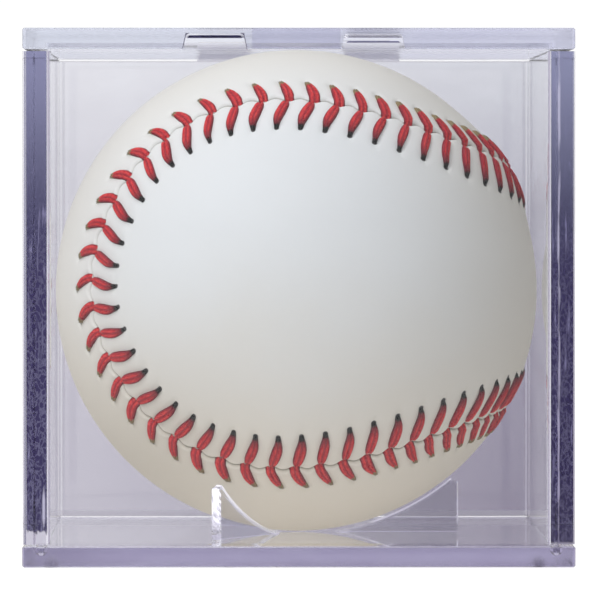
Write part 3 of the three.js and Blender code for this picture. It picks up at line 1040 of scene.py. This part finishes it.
def sleeve_tint(finish, spot):
    x, y, z = finish.axes(spot)
    wide = x.size()
    is_right = x.step(-1.0, 1.0)
    front = front_face(y)
    crackle = finish.noise(spot, crackle_scale, 4.0)
    outer_edge = wide.step(wall_face - 0.6, wall_face - 0.45) * (1 - is_right)
    edge_face = wide.step(band_start - 0.12, band_start) * (1 - outer_edge) * front
    band_left = (z + crackle * 3.0).step(6.6, 7.2) * (1 - is_right)
    band_right = z.step(3.2, 3.9) * is_right
    long_top = z.step(79.0, 79.12) * (x - long_tongue_x).inside(-4.2, 4.2, 0.1)
    short_top = z.inside(78.38, 79.0, 0.06) * (x - short_tongue_x).inside(-4.3, 4.3, 0.1)
    ends = z.step(76.9, 77.0).most(1 - z.step(4.2, 4.4)) * y.step(37.7, 37.8) * 0.5
    colour = finish.coats(
        wall_colour(finish, spot),
        (wide.line(37.35, 0.12, 0.28) * front, (0.34, 0.31, 0.43)),
        (outer_edge * front, (0.18, 0.175, 0.29)),
        (edge_face * (1 - z.step(8.0, 8.5)), (0.68, 0.66, 0.79)),
        (edge_face * (band_left + band_right), band_colour(finish, spot)),
        (long_top, (0.06, 0.055, 0.13)),
        (ends, (0.42, 0.40, 0.48)),
        (short_top, (0.22, 0.21, 0.34)),
    )
    return colour, polish + ends, no_glow


dress("case_sleeve", clear_plastic("clear_sleeve", sleeve_tint))

# %% [markdown]
# ## The base
# Its rim is lavender all round, and less glossy than the walls, so what lies behind it blurs. The
# cradle's fins gather light and send it out at their edges, which is why these look white. Light
# tracing alone finds that only after very many rays, so the edges get a faint glow of their own.

# %% Tint the base
rim_face, rim_height = 41.35, 3.15
rim_roughness = 0.12
saddle_face = 38.0, 38.15  # mm from the ball's centre, on the fins' upper edges and past them
fin_end = 24.9, 25.1  # mm from the cube's middle, before the fins' upright edges and on them


def base_tint(finish, spot):
    x, y, z = finish.axes(spot)
    rim = x.size().most(y.size()).step(rim_face - 0.15, rim_face - 0.05)
    mottle = finish.noise(spot, (0.15, 0.15, 0.6), 3.0)
    lavender = finish.coats(
        (0.32, 0.29, 0.45),
        ((z - rim_height / 2).size().step(0.1, 1.5), (0.25, 0.22, 0.38)),
        (mottle.step(0.35, 0.7) * 0.4, (0.38, 0.36, 0.52)),
        (z.step(2.2, 3.0) * 0.5, (0.37, 0.34, 0.48)),
        ((-x).step(20.0, 41.0) * 0.5, (0.17, 0.15, 0.26)),
    )
    # The plate and fins are painted darker towards the right, a painted shade like the back wall's.
    plate = finish.blend(x.step(-20.0, 38.0), (0.80, 0.80, 0.85), (0.50, 0.48, 0.57))
    back_edge = y.step(35.5, 36.0) * (1 - rim)
    off_axis = x**2 + y**2
    from_ball = (off_axis + (z - ball_centre[2] / MM) ** 2) ** 0.5
    upright_edge = off_axis.step(fin_end[0] ** 2, fin_end[1] ** 2)
    fin_edge = (1 - from_ball.step(*saddle_face)).most(upright_edge) * z.step(4.4, 4.8)
    glow = finish.blend(fin_edge, no_glow, (0.20, 0.195, 0.23))
    return finish.blend(rim, plate, lavender), polish + rim * rim_roughness + back_edge * 0.5, glow


dress("case_base", clear_plastic("clear_base", base_tint))

# %% [markdown]
# ## The lid
# A lavender rim with a bare, slightly darker panel in the middle of its front. The gap round each
# latch tongue shows as a fine dark line, so the rim is darkened along the outline of the tongue. The
# line under the long tongue's top edge is left out, because the tongue itself draws it.

# %% Tint the lid
tongue_seat = 77.1
long_tongue_height, short_tongue_height = 2.35, 1.5
tongue_root_half, tongue_tip_half = 4.6, 4.1
tongue_room = 0.12  # from the tongue to the middle of the line round it


def tongue_outline(x, z, middle, height, wide):
    """A fine line round a tongue: the distance to its tapered sides and to its top."""
    share = (z - tongue_seat) / height
    half = tongue_root_half - share * (tongue_root_half - tongue_tip_half)
    beside = (x - middle).size() - half
    above = z - (tongue_seat + height)
    return beside.most(above).line(tongue_room, wide * 0.5, wide)


def lid_tint(finish, spot):
    x, y, z = finish.axes(spot)
    rim = x.size().most(y.size()).step(wall_face - 0.4, wall_face - 0.3)
    front = 1 - y.step(-wall_face + 0.35, -wall_face + 0.45)
    cloud = finish.noise(spot, (0.12, 0.12, 0.8), 3.0)
    bare_panel = (x + 0.4).inside(-6.6, 6.6, 0.1) * front
    long_line = tongue_outline(x, z, long_tongue_x, long_tongue_height, 0.3)
    short_line = tongue_outline(x, z, short_tongue_x, short_tongue_height, 0.22) * 0.7
    drawn_already = z.step(79.2, 79.4) * (1 - (x - long_tongue_x).size().step(3.75, 3.95))
    upper_line = z.line(79.86, 0.05, 0.2) * (x - short_tongue_x).inside(-3.9, 3.9, 0.1) * 0.35
    lines = (long_line.most(short_line) * front * (1 - drawn_already)).most(upper_line)
    lavender = finish.coats(
        finish.blend(x.step(-30.0, 30.0), (0.65, 0.68, 0.79), (0.56, 0.57, 0.73)),
        (cloud.step(0.3, 0.7) * 0.35, (0.70, 0.71, 0.80)),
        (bare_panel, (0.41, 0.415, 0.585)),
        (lines, (0.03, 0.025, 0.06)),
    )
    plate = finish.blend(y.step(35.0, 36.0), (0.92, 0.92, 0.96), (0.68, 0.68, 0.75))
    back_edge = y.step(33.0, 34.0) * (1 - rim)
    return finish.blend(rim, plate, lavender), polish + rim * rim_roughness + back_edge * 0.35, no_glow


dress("case_lid", clear_plastic("clear_lid", lid_tint))
